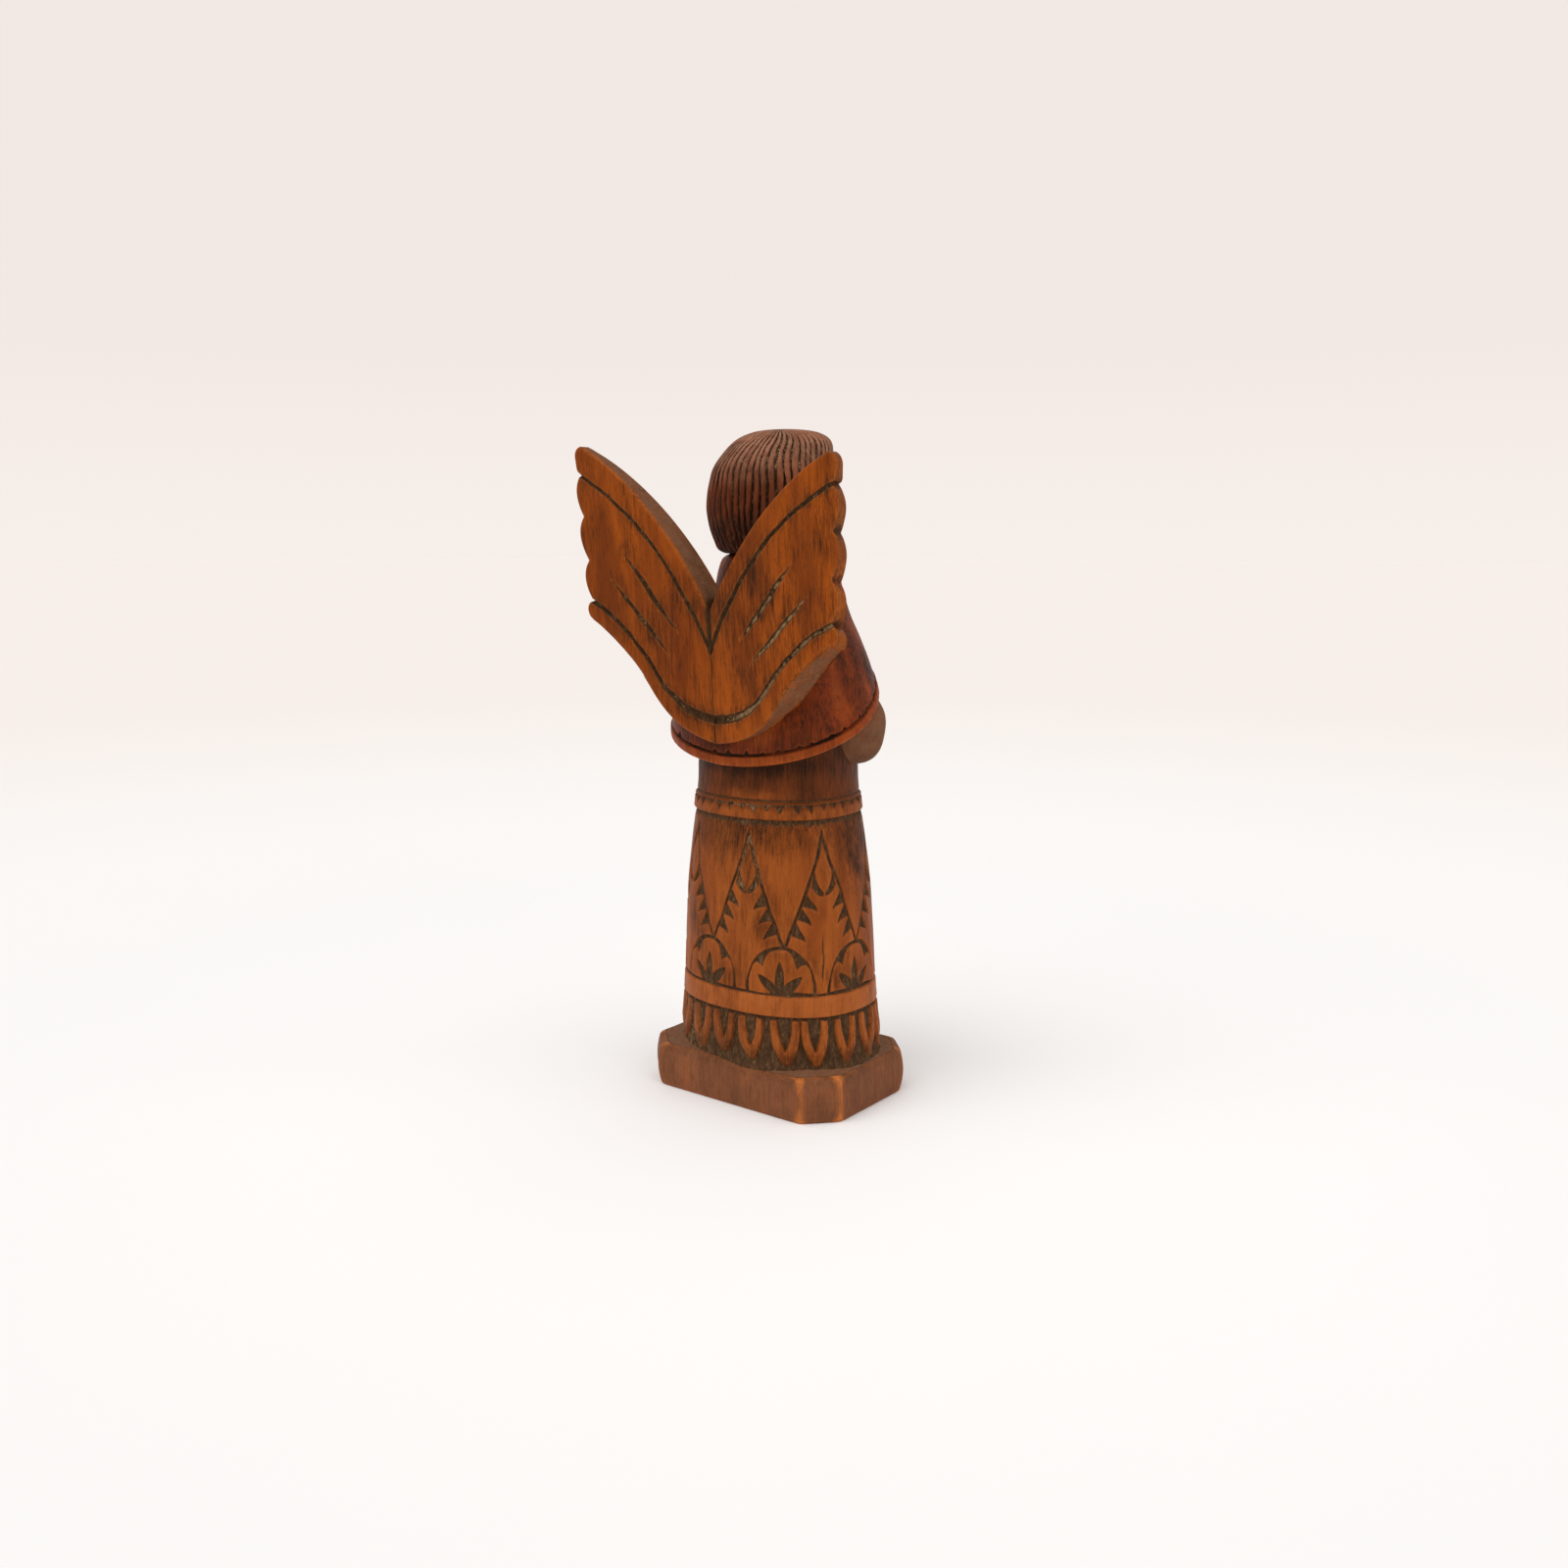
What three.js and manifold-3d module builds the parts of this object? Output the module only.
// A carved wooden angel: one block for the figure and its plinth, and two flat boards for the wings.
// Millimetres, +Z up. The angel faces -Y with its left hand at +X; the origin is the middle of the underside.

import * as THREE from "three";
import { mergeVertices } from "three/addons/utils/BufferGeometryUtils.js";
import Module from "manifold-3d";

const wasm = await Module();
wasm.setup();

// Plinth: a block with its four upright corners cut off and its edges worn.
const PLINTH = { halfWidth: 36.3, halfDepth: 25.5, height: 13.9, cornerX: 8.5, cornerY: 9, wear: 0.6 };

// The figure's sections are squarish ovals, and this is their exponent.
const SQUARENESS = 2.3;
const OVAL_ASPECT = 0.84;
const ROBE_COLUMNS = 28;
const CAPE_COLUMNS = 32;

// Robe, from the plinth to under the cape: height, half width and half depth.
const ROBE = [
  [9, 34, 24.9],
  [30, 31, 24.8],
  [37, 30.4, 24.7],
  [66, 28.5, 24],
  [88, 25.2, 22.4],
  [100, 24.3, 21.7],
  [126, 24.4, 21.4],
];
// The robe's foot stands a little to the figure's right of its waist.
const ROBE_LEAN = { x: -0.7, to: 94, over: 80 };
const ROBE_ROUND = 172;

// Carving on the robe.
const RECESS = 0.8;
const CUTTER_RISE = 2;
const GROUND = { footDepth: 2.1, depth: 1, top: 30 };
const LOWER_BAND = { bottom: 30, top: 36, proud: 0.45, groove: 1.1, sunk: 1.1 };
const WAISTBAND = { bottom: 88.1, top: 93.3, proud: 0.55, chips: 37, chipWidth: 3, chipHeight: 2.3 };
const PETALS = { count: 7, first: -0.036, top: 86.2, tip: 51.9, groove: 1.35, swell: 1.12 };
const GAP_DRIFT = { size: 0.014, zero: -0.04 };
const KITE = { bottom: 66.3, wide: 72.5, halfWidth: 2.7 };
const THORNS = { count: 3, first: 66, step: 4.3, base: 2.9, drop: 4.8, reach: 2.3 };
const ARCH = { foot: 36.6, top: 51.2, halfWidth: 10.7, rim: 1.3, lobeTop: 45.6, spur: 4.9, crown: 49.9 };
const PALMETTE = { height: 9.6, reach: 6.8, sideHeight: 6.2, leafHalf: 1.3, heart: 2.6 };
const TONGUES = { count: 18, first: -0.0054, tip: 15.9, halfWidth: 3.65, hollowHalf: 1.8, hollowTip: 19.4 };
const TONGUE_ROOT = 0.5;

// Cape: sections by height, and a hem that climbs from the middle of the back to the front.
const CAPE = [
  [100, 33.2, 27.1],
  [113, 33.4, 27.3],
  [122, 31.9, 25.5],
  [133, 28.8, 22.1],
  [140, 26, 19.4],
  [147, 22.7, 16.9],
  [154, 20.8, 15.4],
  [160, 20, 14.9],
  [163.4, 18.9, 14.2],
  [165, 15, 11.5],
];
const HEM = { back: 103.9, rise: 32, bend: [0.78, -0.3, 0.52], leftLift: 2.8 };
const HEM_RIM = { height: 2.8, proud: 0.3, groove: 0.8, depth: 0.7 };
const HEM_CHIPS = { count: 36, width: 2.8, height: 1.9 };
const CAPE_TOP = 165;
const CAPE_CENTRE_Z = 124;

// Sleeves and hands, the right one first mirrored to the left.
const ELBOW = new THREE.Vector3(24, -5.5, 112.6);
const WRIST = new THREE.Vector3(2.9, -21.4, 124);
const SHOULDER = new THREE.Vector3(21.6, -2.5, 131);
const SLEEVE = { elbow: 10, wrist: 5.3, cuff: 6.1, cuffLength: 3, shoulder: 6.4, sides: 12 };
const HANDS = { base: 118, tip: 147.5, halfWidth: 4.1, halfDepth: 4.9, y: -21.8, lean: 0.14 };
// The hands' outline from the wrists to the fingertips: share of the width, share of the length.
const HAND_PROFILE = [
  [0, 0],
  [0.86, 0],
  [1, 0.22],
  [0.95, 0.45],
  [0.78, 0.75],
  [0.5, 0.93],
  [0, 1],
];
const PALM_SLOT = { width: 0.8, depth: 1.4 };

// Head: a flat-topped bob of hair in ridges round a plain face.
const HEAD = { halfWidth: 18.6, halfDepth: 19.6, bottom: 162.8, top: 200.6, y: 2.4, crownY: -4 };
const HAIR = { ridges: 40, depth: 0.9 };
const HEAD_SCALE = [
  [162.8, 0.66],
  [166, 0.87],
  [176, 0.985],
  [187, 0.985],
  [195.2, 0.85],
  [200.1, 0.5],
];
const FACE = { halfWidth: 13.6, halfDepth: 14.6, halfHeight: 17.5, y: -2.4, z: 177 };
const FACE_OPENING = { halfWidth: 12.4, fringe: 186.4, shoulder: 5, front: -30, depth: 24 };
const EYES = { x: 5.4, z: 177.2, halfWidth: 2.7, halfHeight: 1.25, lid: 0.7 };
const NOSE = { top: 179.5, bottom: 169, halfWidth: 2.3, proud: 3, bridge: 0.3, root: -0.5 };
const MOUTH = { z: 165.4, halfWidth: 3.4, thickness: 0.9, proud: 0.5 };
const NECK = { radius: 9.5, y: -0.5, length: 20, sides: 14 };

// Wings: a pair of boards glued to the back, seen as |X| across and Z up.
const WING = { tip: 193.2, reach: 47.3, notch: 148, bottom: 110.4, bandEnd: 187.2 };
const WING_SHIFT = 0.2;
const SCALLOPS = [
  [45.4, 185.3],
  [45.3, 173],
  [44.4, 160.2],
  [43.7, 148.4],
];
const SCALLOP_SWELL = 2.3;
const LOBE = { x: 45.2, z: 145.3, radius: 2.6 };
const WING_BACK = { y: 31.5, outward: 0.04, upward: 0.065, z: 140 };
const WING_THICKNESS = { seam: 10.2, tip: 3.2, bend: 1.6 };
const WING_LEAN = 0.053;
const SEAM_GAP = 0.16;
const GLUE_GAP = 0.3;
const WING_GROOVE = { width: 1.7, depth: 0.9 };

// Straight interpolation down a table whose first column is the height.
function at(table, z) {
  const last = table.length - 1;
  let k = 1;
  while (k < last && table[k][0] < z) k += 1;
  const [low, high] = [table[k - 1], table[k]];
  const share = THREE.MathUtils.clamp((z - low[0]) / (high[0] - low[0]), 0, 1);
  return low.slice(1).map((value, i) => value + (high[i + 1] - value) * share);
}

// A point of the unit oval at a share of the way round it, even by length, from the back towards -X.
const ovalPoint = (angle) => {
  const bulge = (value) => Math.sign(value) * Math.abs(value) ** (2 / SQUARENESS);
  return [-bulge(Math.sin(angle)), bulge(Math.cos(angle))];
};
const OVAL_STEPS = 1440;
const ovalLengths = [0];
for (let i = 1; i <= OVAL_STEPS; i += 1) {
  const [x0, y0] = ovalPoint(((i - 1) / OVAL_STEPS) * 2 * Math.PI);
  const [x1, y1] = ovalPoint((i / OVAL_STEPS) * 2 * Math.PI);
  ovalLengths.push(ovalLengths[i - 1] + Math.hypot(x1 - x0, (y1 - y0) * OVAL_ASPECT));
}
function oval(turn) {
  const wanted = (turn - Math.floor(turn)) * ovalLengths[OVAL_STEPS];
  let low = 0;
  let high = OVAL_STEPS;
  while (high - low > 1) {
    const middle = (low + high) >> 1;
    if (ovalLengths[middle] <= wanted) low = middle;
    else high = middle;
  }
  const share = (wanted - ovalLengths[low]) / (ovalLengths[high] - ovalLengths[low]);
  return ovalPoint(((low + share) / OVAL_STEPS) * 2 * Math.PI);
}

// A point on the robe, a way out from its surface.
function onRobe(turn, z, out = 0) {
  const [halfWidth, halfDepth] = at(ROBE, z);
  const [x, y] = oval(turn);
  const lean = (ROBE_LEAN.x * Math.max(ROBE_LEAN.to - z, 0)) / ROBE_LEAN.over;
  return [x * (halfWidth + out) + lean, y * (halfDepth + out), z];
}

function hemHeight(turn) {
  const [x, y] = oval(turn);
  const forward = (1 - y) / 2;
  const [a, b, c] = HEM.bend;
  const climb = HEM.rise * (a * forward + b * forward ** 2 + c * forward ** 3);
  return HEM.back + climb + HEM.leftLift * Math.max(x, 0);
}

// A point on the cape at a height over its hem: true near the hem, stretched above it to reach the collar.
const HEM_ZONE = 6;
const CAPE_RUN = 60;
function onCape(turn, above, out = 0) {
  const hem = hemHeight(turn);
  const stretch = (CAPE_TOP - hem - HEM_ZONE) / (CAPE_RUN - HEM_ZONE);
  const z = hem + Math.min(above, HEM_ZONE) + Math.max(above - HEM_ZONE, 0) * stretch;
  const [halfWidth, halfDepth] = at(CAPE, z);
  const [x, y] = oval(turn);
  return [x * (halfWidth + out), y * (halfDepth + out), z];
}

// Moves every vertex of a geometry.
function bent(geometry, move) {
  const position = geometry.attributes.position;
  for (let i = 0; i < position.count; i += 1) {
    position.setXYZ(i, ...move(position.getX(i), position.getY(i), position.getZ(i)));
  }
  return geometry;
}

// A closed solid of a geometry, its vertices merged and its faces out.
function solid(geometry) {
  geometry.deleteAttribute("normal");
  geometry.deleteAttribute("uv");
  const merged = mergeVertices(geometry, 1e-4);
  const faces = [];
  const index = merged.index.array;
  for (let i = 0; i < index.length; i += 3) {
    const [a, b, c] = [index[i], index[i + 1], index[i + 2]];
    if (a !== b && b !== c && c !== a) faces.push(a, b, c);
  }
  const build = (triangles) =>
    new wasm.Manifold(
      new wasm.Mesh({
        numProp: 3,
        vertProperties: new Float32Array(merged.attributes.position.array),
        triVerts: new Uint32Array(triangles),
      }),
    );
  const made = build(faces);
  return made.volume() > 0 ? made : build(faces.reverse());
}

function joined(solids) {
  return wasm.Manifold.union(solids);
}

// Turns a profile of [radius, height] pairs and puts each vertex where place says.
function turned(profile, sides, place) {
  const points = profile.map(([radius, height]) => new THREE.Vector2(radius, height));
  const geometry = new THREE.LatheGeometry(points, sides);
  return solid(
    bent(geometry, (x, height, z) => place(Math.atan2(x, z) / (2 * Math.PI), Math.hypot(x, z), height)),
  );
}

// A flat outline in (length round, height), sunk into a surface or raised from it.
function wrapped(outline, hole, from, to, centreTurn, surface) {
  const shape = new THREE.Shape(outline.map(([x, z]) => new THREE.Vector2(x, z)));
  if (hole) shape.holes.push(new THREE.Path(hole.toReversed().map(([x, z]) => new THREE.Vector2(x, z))));
  const geometry = new THREE.ExtrudeGeometry(shape, { depth: to - from, bevelEnabled: false, steps: 1 });
  return solid(bent(geometry, (x, z, out) => surface(centreTurn + x / ROBE_ROUND, z, from + out)));
}

function cutInRobe(outline, centreTurn, hole = null) {
  return wrapped(outline, hole, -RECESS, CUTTER_RISE, centreTurn, onRobe);
}

// A half outline on the +X side, followed by its mirror image run backwards; points on the axis stay single.
function mirrored(half) {
  const other = half
    .filter(([x]) => x > 1e-6)
    .map(([x, z]) => [-x, z])
    .reverse();
  return [...half, ...other];
}

function plinth() {
  const { halfWidth: w, halfDepth: d, height, cornerX: cx, cornerY: cy, wear } = PLINTH;
  const corner = [
    [w - wear, -d + cy],
    [w - wear, d - cy],
    [w - cx, d - wear],
    [-w + cx, d - wear],
    [-w + wear, d - cy],
    [-w + wear, -d + cy],
    [-w + cx, -d + wear],
    [w - cx, -d + wear],
  ];
  const shape = new THREE.Shape(corner.map(([x, y]) => new THREE.Vector2(x, y)));
  const geometry = new THREE.ExtrudeGeometry(shape, {
    depth: height - 2 * wear,
    bevelThickness: wear,
    bevelSize: wear,
    bevelSegments: 1,
  });
  return solid(geometry.translate(0, 0, wear));
}

// Stands for a surface's own radius in a profile that is bent onto it.
const SKIN = 20;

function robe() {
  const band = LOWER_BAND;
  const waist = WAISTBAND;
  const levels = [
    [-GROUND.footDepth, ROBE[0][0]],
    [-GROUND.depth, GROUND.top],
    [band.proud, band.bottom],
    [band.proud, band.top],
    [-band.sunk, band.top],
    [-band.sunk, band.top + band.groove],
    [0, band.top + band.groove],
    [0, 66],
    [0, waist.bottom],
    [waist.proud, waist.bottom],
    [waist.proud, waist.top],
    [0, waist.top],
    [0, 126],
  ];
  const profile = [[0, ROBE[0][0]], ...levels.map(([out, z]) => [SKIN + out, z]), [0, 126]];
  return turned(profile, ROBE_COLUMNS, (turn, r, z) =>
    r === 0 ? [0, 0, z] : onRobe(turn + PETALS.first, z, r - SKIN),
  );
}

// Half the distance between neighbouring petals at a height.
function petalEdge(z) {
  const down = (PETALS.top - z) / (PETALS.top - PETALS.tip);
  return (ROBE_ROUND / PETALS.count / 2) * Math.max(down, 0) ** PETALS.swell;
}

// The sunk ground between two petals: a groove along each, thorns on its inner side, a kite left standing.
function petalGap(turn) {
  const inner = (z) => petalEdge(z) - PETALS.groove;
  const down = [[petalEdge(68), 68]];
  const up = [[petalEdge(PETALS.tip) - 0.2, PETALS.tip - 0.3]];
  for (let k = THORNS.count - 1; k >= 0; k -= 1) {
    const top = THORNS.first - k * THORNS.step;
    up.push([inner(top - THORNS.base), top - THORNS.base]);
    up.push([inner(top) - THORNS.reach, top - THORNS.drop]);
    up.push([inner(top), top]);
  }
  const fold = [
    [inner(69) - 0.1, 68.8],
    [2.3, 66.6],
    [0, KITE.bottom - 0.9],
  ];
  const right = [[0, PETALS.top], ...down, ...up, ...fold];
  const kite = mirrored([
    [0, 81.3],
    [KITE.halfWidth, KITE.wide],
    [1.9, 69.2],
    [0, KITE.bottom],
  ]);
  return cutInRobe(mirrored(right), turn, kite);
}

// An arch with a trefoil left standing in it, and a palmette sunk in the trefoil.
function arch(turn) {
  const { foot, top, halfWidth, rim, lobeTop, spur, crown } = ARCH;
  const outer = [];
  const steps = 4;
  for (let i = 0; i <= steps; i += 1) {
    const angle = (i / steps) * (Math.PI / 2);
    outer.push([halfWidth * Math.cos(angle) ** 0.9, foot + (top - foot) * Math.sin(angle)]);
  }
  const inner = [
    [halfWidth - rim, foot],
    [halfWidth - rim - 0.2, lobeTop - 3.4],
    [halfWidth - 3, lobeTop - 0.3],
    [spur, lobeTop - 0.4],
    [spur - 1.5, crown - 1.2],
    [0, crown],
  ];
  const border = [...mirrored(outer), ...mirrored(inner).reverse()];
  return cutInRobe(border, turn).add(cutInRobe(palmette(), turn));
}

// Three pointed leaves spreading from one heart.
function palmette() {
  const { height, reach, sideHeight, leafHalf, heart } = PALMETTE;
  const right = [
    [leafHalf + 0.3, 0],
    [reach * 0.66, sideHeight * 0.33],
    [reach, sideHeight],
    [reach * 0.45, sideHeight * 0.8],
    [leafHalf * 0.75, heart],
    [leafHalf, height * 0.55],
    [0, height],
  ];
  return mirrored(right).map(([x, z]) => [x, ARCH.foot + z]);
}

// A hollow tongue hanging from the lower band.
function tongue(turn) {
  const { tip, halfWidth, hollowHalf, hollowTip } = TONGUES;
  const top = LOWER_BAND.bottom + 0.4;
  const right = [
    [hollowHalf, top],
    [halfWidth, top],
    [halfWidth - 0.5, 21.6],
    [0, tip],
  ];
  const outline = [[0, hollowTip], ...mirrored(right)];
  return wrapped(outline, null, -GROUND.footDepth - TONGUE_ROOT, 0, turn, onRobe);
}

// A three-sided chip cut, its base along one level and its point above or below it.
const CHIP = { above: 0.25, depth: 0.9, deepest: 0.35 };
function chip(turn, width, level, point, surface) {
  const half = width / 2 / ROBE_ROUND;
  const middle = level + (point - level) * CHIP.deepest;
  const geometry = new THREE.ConeGeometry(1, 2, 3);
  const corners = [
    surface(turn - half, level, CHIP.above),
    surface(turn + half, level, CHIP.above),
    surface(turn, point, CHIP.above),
    surface(turn, middle, -CHIP.depth),
  ];
  return solid(
    bent(geometry, (x, y, z) => {
      if (y > 0) return corners[3];
      if (Math.hypot(x, z) < 1e-6) {
        return [0, 1, 2].map((axis) => (corners[0][axis] + corners[1][axis] + corners[2][axis]) / 3);
      }
      const k = Math.round(((Math.atan2(x, z) / (2 * Math.PI) + 1) % 1) * 3) % 3;
      return corners[k];
    }),
  );
}

function ring(count, make) {
  return Array.from({ length: count }, (_, k) => make(k / count));
}

function cape() {
  const rim = HEM_RIM;
  const profile = [
    [0, 2],
    [SKIN - 10, 2],
    [SKIN + rim.proud - 0.5, 0],
    [SKIN + rim.proud, 0.6],
    [SKIN + rim.proud, rim.height],
    [SKIN - rim.depth, rim.height],
    [SKIN - rim.depth, rim.height + rim.groove],
    [SKIN, rim.height + rim.groove],
    [SKIN, 17],
    [SKIN, 33],
    [SKIN, 51],
    [SKIN, CAPE_RUN],
    [0, CAPE_RUN],
  ];
  return turned(profile, CAPE_COLUMNS, (turn, r, above) =>
    r === 0 ? [0, 0, above > HEM_ZONE ? CAPE_TOP : CAPE_CENTRE_Z] : onCape(turn, above, r - SKIN),
  );
}

// A turned limb from one point towards another, on the side of the given sign.
function limb(side, start, end, profileFor) {
  const from = start.clone().setX(start.x * side);
  const to = end.clone().setX(end.x * side);
  const along = new THREE.Quaternion().setFromUnitVectors(
    new THREE.Vector3(0, 0, 1),
    to.clone().sub(from).normalize(),
  );
  return turned(profileFor(from.distanceTo(to)), SLEEVE.sides, (turn, r, z) => {
    const angle = turn * 2 * Math.PI;
    const point = new THREE.Vector3(r * Math.cos(angle), r * Math.sin(angle), z);
    return point.applyQuaternion(along).add(from).toArray();
  });
}

// A sleeve: a round elbow, a forearm with a cuff, and an upper arm that lifts the cape.
function sleeve(side) {
  const { elbow, wrist, cuff, cuffLength, shoulder } = SLEEVE;
  const round = [30, 60].map((degrees) => {
    const angle = THREE.MathUtils.degToRad(degrees);
    return [elbow * Math.sin(angle), -elbow * Math.cos(angle)];
  });
  const forearm = limb(side, ELBOW, WRIST, (length) => [
    [0, -elbow],
    ...round,
    [elbow, 0],
    [wrist, length - cuffLength],
    [cuff, length - cuffLength],
    [cuff, length],
    [0, length],
  ]);
  const upperArm = limb(side, ELBOW, SHOULDER, (length) => [
    [0, -1],
    [elbow - 0.4, 0],
    [shoulder, length],
    [0, length],
  ]);
  return forearm.add(upperArm);
}

// Two hands laid palm to palm, the fingers up.
function hands() {
  const { base, tip, halfWidth, halfDepth, y, lean } = HANDS;
  const run = tip - base;
  const body = turned(HAND_PROFILE, 10, (turn, r, share) => {
    const angle = turn * 2 * Math.PI;
    const z = base + share * run;
    return [halfWidth * r * Math.cos(angle), y + halfDepth * r * Math.sin(angle) - lean * (z - base), z];
  });
  const slot = new THREE.BoxGeometry(PALM_SLOT.width, PALM_SLOT.depth, run);
  slot.rotateX(lean);
  slot.translate(0, y - halfDepth - lean * run * 0.5, base + run * 0.62);
  return body.subtract(solid(slot));
}

function headPoint(turn, z, shrink = 0) {
  const [scale] = at(HEAD_SCALE, z);
  const rise = THREE.MathUtils.smoothstep(z, 184, HEAD.top);
  const centre = HEAD.y + (HEAD.crownY - HEAD.y) * rise;
  const [x, y] = oval(turn);
  return [x * (HEAD.halfWidth * scale - shrink), centre + y * (HEAD.halfDepth * scale - shrink), z];
}

// The bob of hair: ridges run from the crown down to its rounded lower edge.
function hair() {
  const columns = HAIR.ridges * 2;
  const profile = [
    [0, HEAD.bottom],
    ...HEAD_SCALE.map(([z]) => [SKIN, z]),
    [0, HEAD.top],
  ];
  return turned(profile, columns, (turn, r, z) => {
    if (r === 0) return [0, z > FACE.z ? HEAD.crownY : HEAD.y, z];
    const column = Math.round(turn * columns);
    const [scale] = at(HEAD_SCALE, z);
    return headPoint(turn, z, column % 2 ? HAIR.depth * scale : 0);
  });
}

// The opening in the hair that the face looks out of, under a straight fringe.
function faceOpening() {
  const shape = new THREE.Shape();
  const { halfWidth: w, fringe, shoulder, front, depth } = FACE_OPENING;
  shape.moveTo(-w, HEAD.bottom - shoulder);
  shape.lineTo(w, HEAD.bottom - shoulder);
  shape.lineTo(w, fringe - shoulder);
  shape.quadraticCurveTo(w, fringe, w - shoulder, fringe);
  shape.lineTo(shoulder - w, fringe);
  shape.quadraticCurveTo(-w, fringe, -w, fringe - shoulder);
  shape.closePath();
  const geometry = new THREE.ExtrudeGeometry(shape, { depth, bevelEnabled: false, curveSegments: 3 });
  return solid(bent(geometry, (x, z, inward) => [x, front + inward, z]));
}

// A point on the front of the face, a way out from it.
function onFace(x, z, out = 0) {
  const across = x / FACE.halfWidth;
  const up = (z - FACE.z) / FACE.halfHeight;
  const depth = Math.sqrt(Math.max(1 - across ** 2 - up ** 2, 0.02));
  return [x, FACE.y - FACE.halfDepth * depth - out, z];
}

function onFaceSolid(outline, from, to) {
  const shape = new THREE.Shape(outline.map(([x, z]) => new THREE.Vector2(x, z)));
  const geometry = new THREE.ExtrudeGeometry(shape, { depth: to - from, bevelEnabled: false });
  return solid(bent(geometry, (x, z, out) => onFace(x, z, from + out)));
}

function almond(x0, z0, halfWidth, halfHeight) {
  const points = [];
  const steps = 8;
  for (let i = 0; i < steps; i += 1) {
    const angle = (i / steps) * 2 * Math.PI;
    const lift = Math.sign(Math.sin(angle)) * Math.abs(Math.sin(angle)) ** 1.4;
    points.push([x0 + halfWidth * Math.cos(angle), z0 + halfHeight * lift]);
  }
  return points;
}

function face() {
  const egg = new THREE.SphereGeometry(1, 18, 12);
  egg.scale(FACE.halfWidth, FACE.halfHeight, FACE.halfDepth);
  egg.rotateX(Math.PI / 2);
  egg.translate(0, FACE.y, FACE.z);
  let made = solid(egg);
  for (const side of [-1, 1]) {
    const { x, z, halfWidth, halfHeight, lid } = EYES;
    const socket = onFaceSolid(almond(side * x, z, halfWidth + lid, halfHeight + lid), -0.8, 2);
    const eye = onFaceSolid(almond(side * x, z, halfWidth, halfHeight), -2, -0.25);
    made = made.subtract(socket).add(eye);
  }
  const lips = [-1, 1].map((side) => {
    const { z, halfWidth, thickness, proud } = MOUTH;
    return onFaceSolid(almond(0, z + side * thickness * 0.75, halfWidth, thickness * 0.6), -1, proud);
  });
  return joined([made, nose(), ...lips]);
}

// A four-sided wedge, thin at the bridge and proud at the tip.
function nose() {
  const { top, bottom, halfWidth, proud, bridge, root } = NOSE;
  const corners = [
    onFace(0, bottom + 0.4, proud),
    onFace(halfWidth, bottom, root),
    onFace(0, bottom - 0.8, root),
    onFace(-halfWidth, bottom, root),
  ];
  return solid(
    bent(new THREE.ConeGeometry(1, 1, 4), (x, y, z) => {
      if (y > 0) return onFace(0, top, bridge);
      if (Math.hypot(x, z) < 1e-6) return onFace(0, bottom, 0);
      return corners[Math.round(((Math.atan2(x, z) / (2 * Math.PI) + 1) % 1) * 4) % 4];
    }),
  );
}

function neck() {
  const geometry = new THREE.CylinderGeometry(NECK.radius, NECK.radius, NECK.length, NECK.sides);
  geometry.rotateX(Math.PI / 2);
  return solid(geometry.translate(0, NECK.y, HEAD.bottom - 2));
}

// The outline of a wing board in (|X|, Z), from the foot of the seam round by the tip.
function wingOutline() {
  const shape = new THREE.Shape();
  const { tip, reach, notch, bottom, bandEnd } = WING;
  shape.moveTo(SEAM_GAP, bottom);
  shape.bezierCurveTo(11, bottom + 1.2, 19, bottom + 6, 25.5, bottom + 17);
  shape.bezierCurveTo(30.3, bottom + 23.4, 37.6, bottom + 28.9, LOBE.x - 1.4, LOBE.z - LOBE.radius);
  shape.quadraticCurveTo(LOBE.x + 0.9, LOBE.z - 2, LOBE.x + 0.9, LOBE.z + 0.3);
  shape.quadraticCurveTo(LOBE.x + 0.4, LOBE.z + 2.6, SCALLOPS[3][0], SCALLOPS[3][1]);
  for (let k = SCALLOPS.length - 1; k > 0; k -= 1) {
    const [x0, z0] = SCALLOPS[k];
    const [x1, z1] = SCALLOPS[k - 1];
    const swell = SCALLOP_SWELL * 2;
    shape.quadraticCurveTo((x0 + x1) / 2 + swell, z0 + (z1 - z0) * 0.6, x1, z1);
  }
  shape.lineTo(reach, bandEnd);
  shape.lineTo(reach, tip - 0.6);
  shape.lineTo(reach - 2.6, tip);
  shape.bezierCurveTo(28, 184.5, 12, 171, SEAM_GAP, notch);
  shape.closePath();
  return shape.extractPoints(4).shape;
}

// Lays an outline on the wing's board: depth 0 is the back face and depth 1 the front.
function onWing(side, x, z, depth) {
  const share = x / WING.reach;
  const { seam, tip, bend } = WING_THICKNESS;
  const thickness = seam + (tip - seam) * Math.max(share, 0) ** bend;
  const rise = side * WING_LEAN * x;
  const back = WING_BACK.y + WING_BACK.outward * x + WING_BACK.upward * (z - WING_BACK.z);
  return [side * x + WING_SHIFT, back - thickness * depth, z + rise];
}

function board(side, outline, from, to) {
  const shape = new THREE.Shape(outline);
  const geometry = new THREE.ExtrudeGeometry(shape, { depth: to - from, bevelEnabled: false });
  return solid(bent(geometry, (x, z, depth) => onWing(side, x, z, from + depth)));
}

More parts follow.
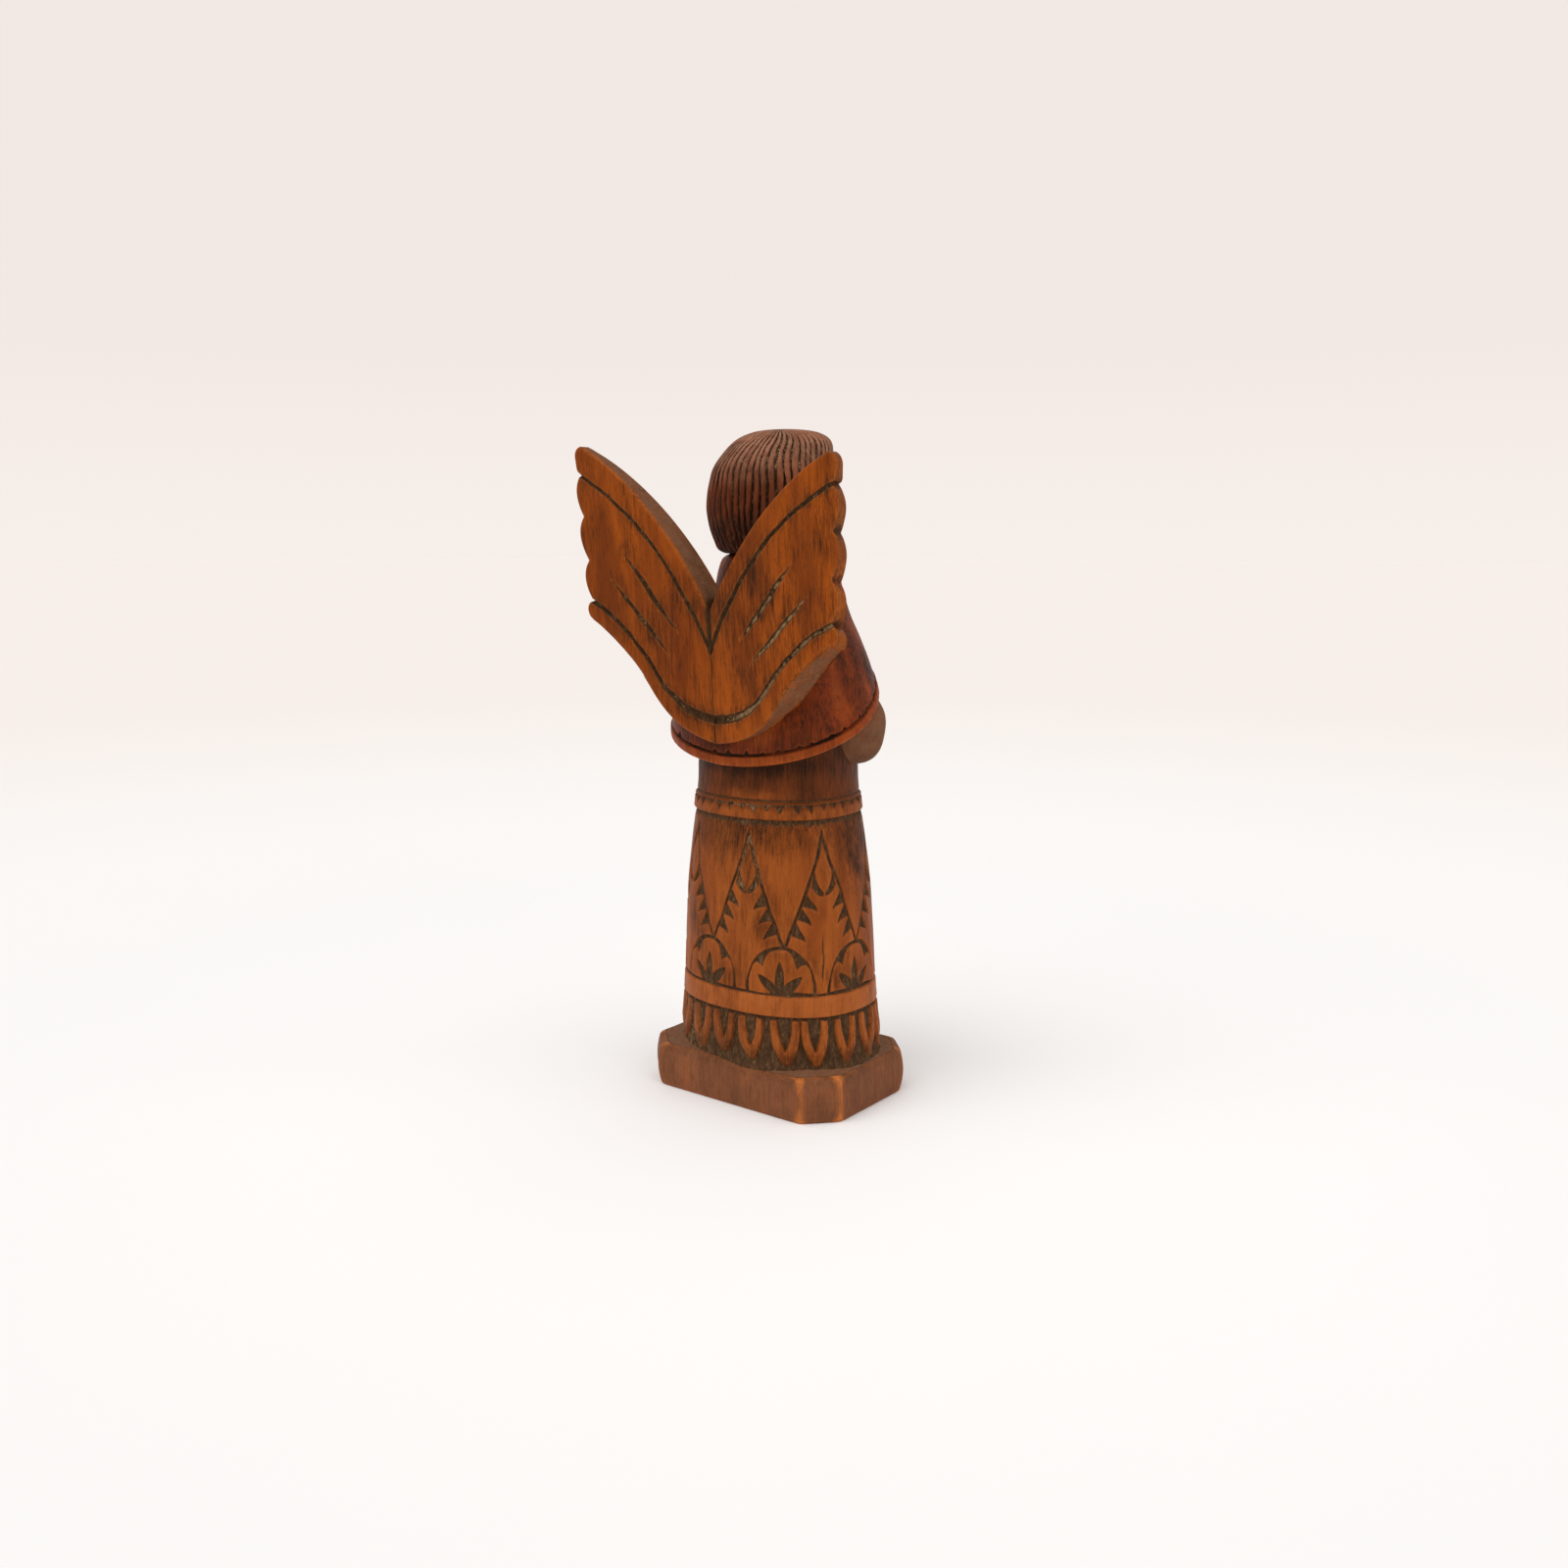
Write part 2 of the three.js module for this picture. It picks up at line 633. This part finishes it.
// A V-cut groove along a curve on the wing's back face, narrowing at its free ends.
function wingGroove(side, curve, steps, width = WING_GROOVE.width, taper = 1) {
  const left = [];
  const right = [];
  for (let i = 0; i <= steps; i += 1) {
    const point = curve.getPoint(i / steps);
    const tangent = curve.getTangent(i / steps);
    const end = taper * Math.min(1, Math.min(i, steps - i) / 1.5) + (1 - taper);
    const half = (width / 2) * Math.max(end, 0.15);
    left.push(new THREE.Vector2(point.x - tangent.y * half, point.y + tangent.x * half));
    right.push(new THREE.Vector2(point.x + tangent.y * half, point.y - tangent.x * half));
  }
  const sunk = WING_GROOVE.depth / WING_THICKNESS.seam;
  return board(side, [...left, ...right.reverse()], -0.3, sunk);
}

function wing(side) {
  const v = (x, z) => new THREE.Vector2(x, z);
  const plate = board(side, wingOutline(), 0, 1);
  const upper = new THREE.CubicBezierCurve(v(47.5, 185.6), v(28, 177), v(13, 163), v(-0.6, 136.2));
  const lower = new THREE.CatmullRomCurve3([
    new THREE.Vector3(46, 149.4, 0),
    new THREE.Vector3(35.5, 143.6, 0),
    new THREE.Vector3(24.8, 134, 0),
    new THREE.Vector3(16.4, 124, 0),
    new THREE.Vector3(8, 119, 0),
    new THREE.Vector3(-0.6, 117.3, 0),
  ]);
  const grooves = [
    wingGroove(side, upper, 6, WING_GROOVE.width, 0),
    wingGroove(side, lower, 8, WING_GROOVE.width * 1.2, 0),
    wingGroove(side, new THREE.LineCurve(v(30.9, 163.8), v(11.7, 141.5)), 4),
    wingGroove(side, new THREE.LineCurve(v(36, 155.2), v(15.1, 134.7)), 4),
  ];
  return plate.subtract(joined(grooves));
}

// The glue seat: the wings' own outline, a gap larger, sunk in the cape and the hair.
function wingSeat(side) {
  const outline = wingOutline();
  const centre = outline.reduce((sum, p) => sum.add(p), new THREE.Vector2()).divideScalar(outline.length);
  const grown = outline.map((p) => {
    const out = p.clone().sub(centre).normalize().multiplyScalar(GLUE_GAP * 1.5);
    return new THREE.Vector2(p.x < 1 ? -0.5 : p.x + out.x, p.y + out.y);
  });
  return board(side, grown, -0.3, 1 + GLUE_GAP / WING_THICKNESS.tip);
}

function figure() {
  const gapTurn = (k) => {
    const turn = PETALS.first + (k + 0.5) / PETALS.count;
    return turn + GAP_DRIFT.size * Math.sin(2 * Math.PI * (turn - GAP_DRIFT.zero));
  };
  const solids = [
    plinth(),
    robe(),
    ...ring(TONGUES.count, (turn) => tongue(TONGUES.first + turn)),
    cape(),
    sleeve(-1),
    sleeve(1),
    hands(),
    neck(),
    hair().subtract(faceOpening()),
    face(),
  ];
  const waist = WAISTBAND;
  const hem = HEM_CHIPS;
  const grooveTop = HEM_RIM.height + HEM_RIM.groove;
  const cuts = [
    ...Array.from({ length: PETALS.count }, (_, k) => petalGap(gapTurn(k))),
    ...ring(PETALS.count, (turn) => arch(PETALS.first + turn)),
    ...ring(waist.chips, (turn) =>
      chip(turn, waist.chipWidth, waist.top - 0.2, waist.top - waist.chipHeight, (t, z, out) =>
        onRobe(t, z, waist.proud + out),
      ),
    ),
    ...ring(hem.count, (turn) =>
      chip(turn + 0.5 / hem.count, hem.width, grooveTop + 0.2, grooveTop + hem.height, onCape),
    ),
    wingSeat(-1),
    wingSeat(1),
  ];
  return joined(solids).subtract(joined(cuts));
}

const WOOD = {
  figure: new THREE.MeshStandardMaterial({ color: 0x6e3a1c, roughness: 0.5, metalness: 0 }),
  wings: new THREE.MeshStandardMaterial({ color: 0x8e5424, roughness: 0.5, metalness: 0 }),
};

function mesh(name, made, material) {
  const { vertProperties, triVerts } = made.getMesh();
  const geometry = new THREE.BufferGeometry();
  geometry.setAttribute("position", new THREE.BufferAttribute(vertProperties, 3));
  geometry.setIndex(new THREE.BufferAttribute(triVerts, 1));
  geometry.computeVertexNormals();
  const piece = new THREE.Mesh(geometry, material);
  piece.name = name;
  return piece;
}

const angel = new THREE.Group();
angel.add(mesh("figure", figure(), WOOD.figure));
angel.add(mesh("left_wing", wing(1), WOOD.wings));
angel.add(mesh("right_wing", wing(-1), WOOD.wings));

export default angel;
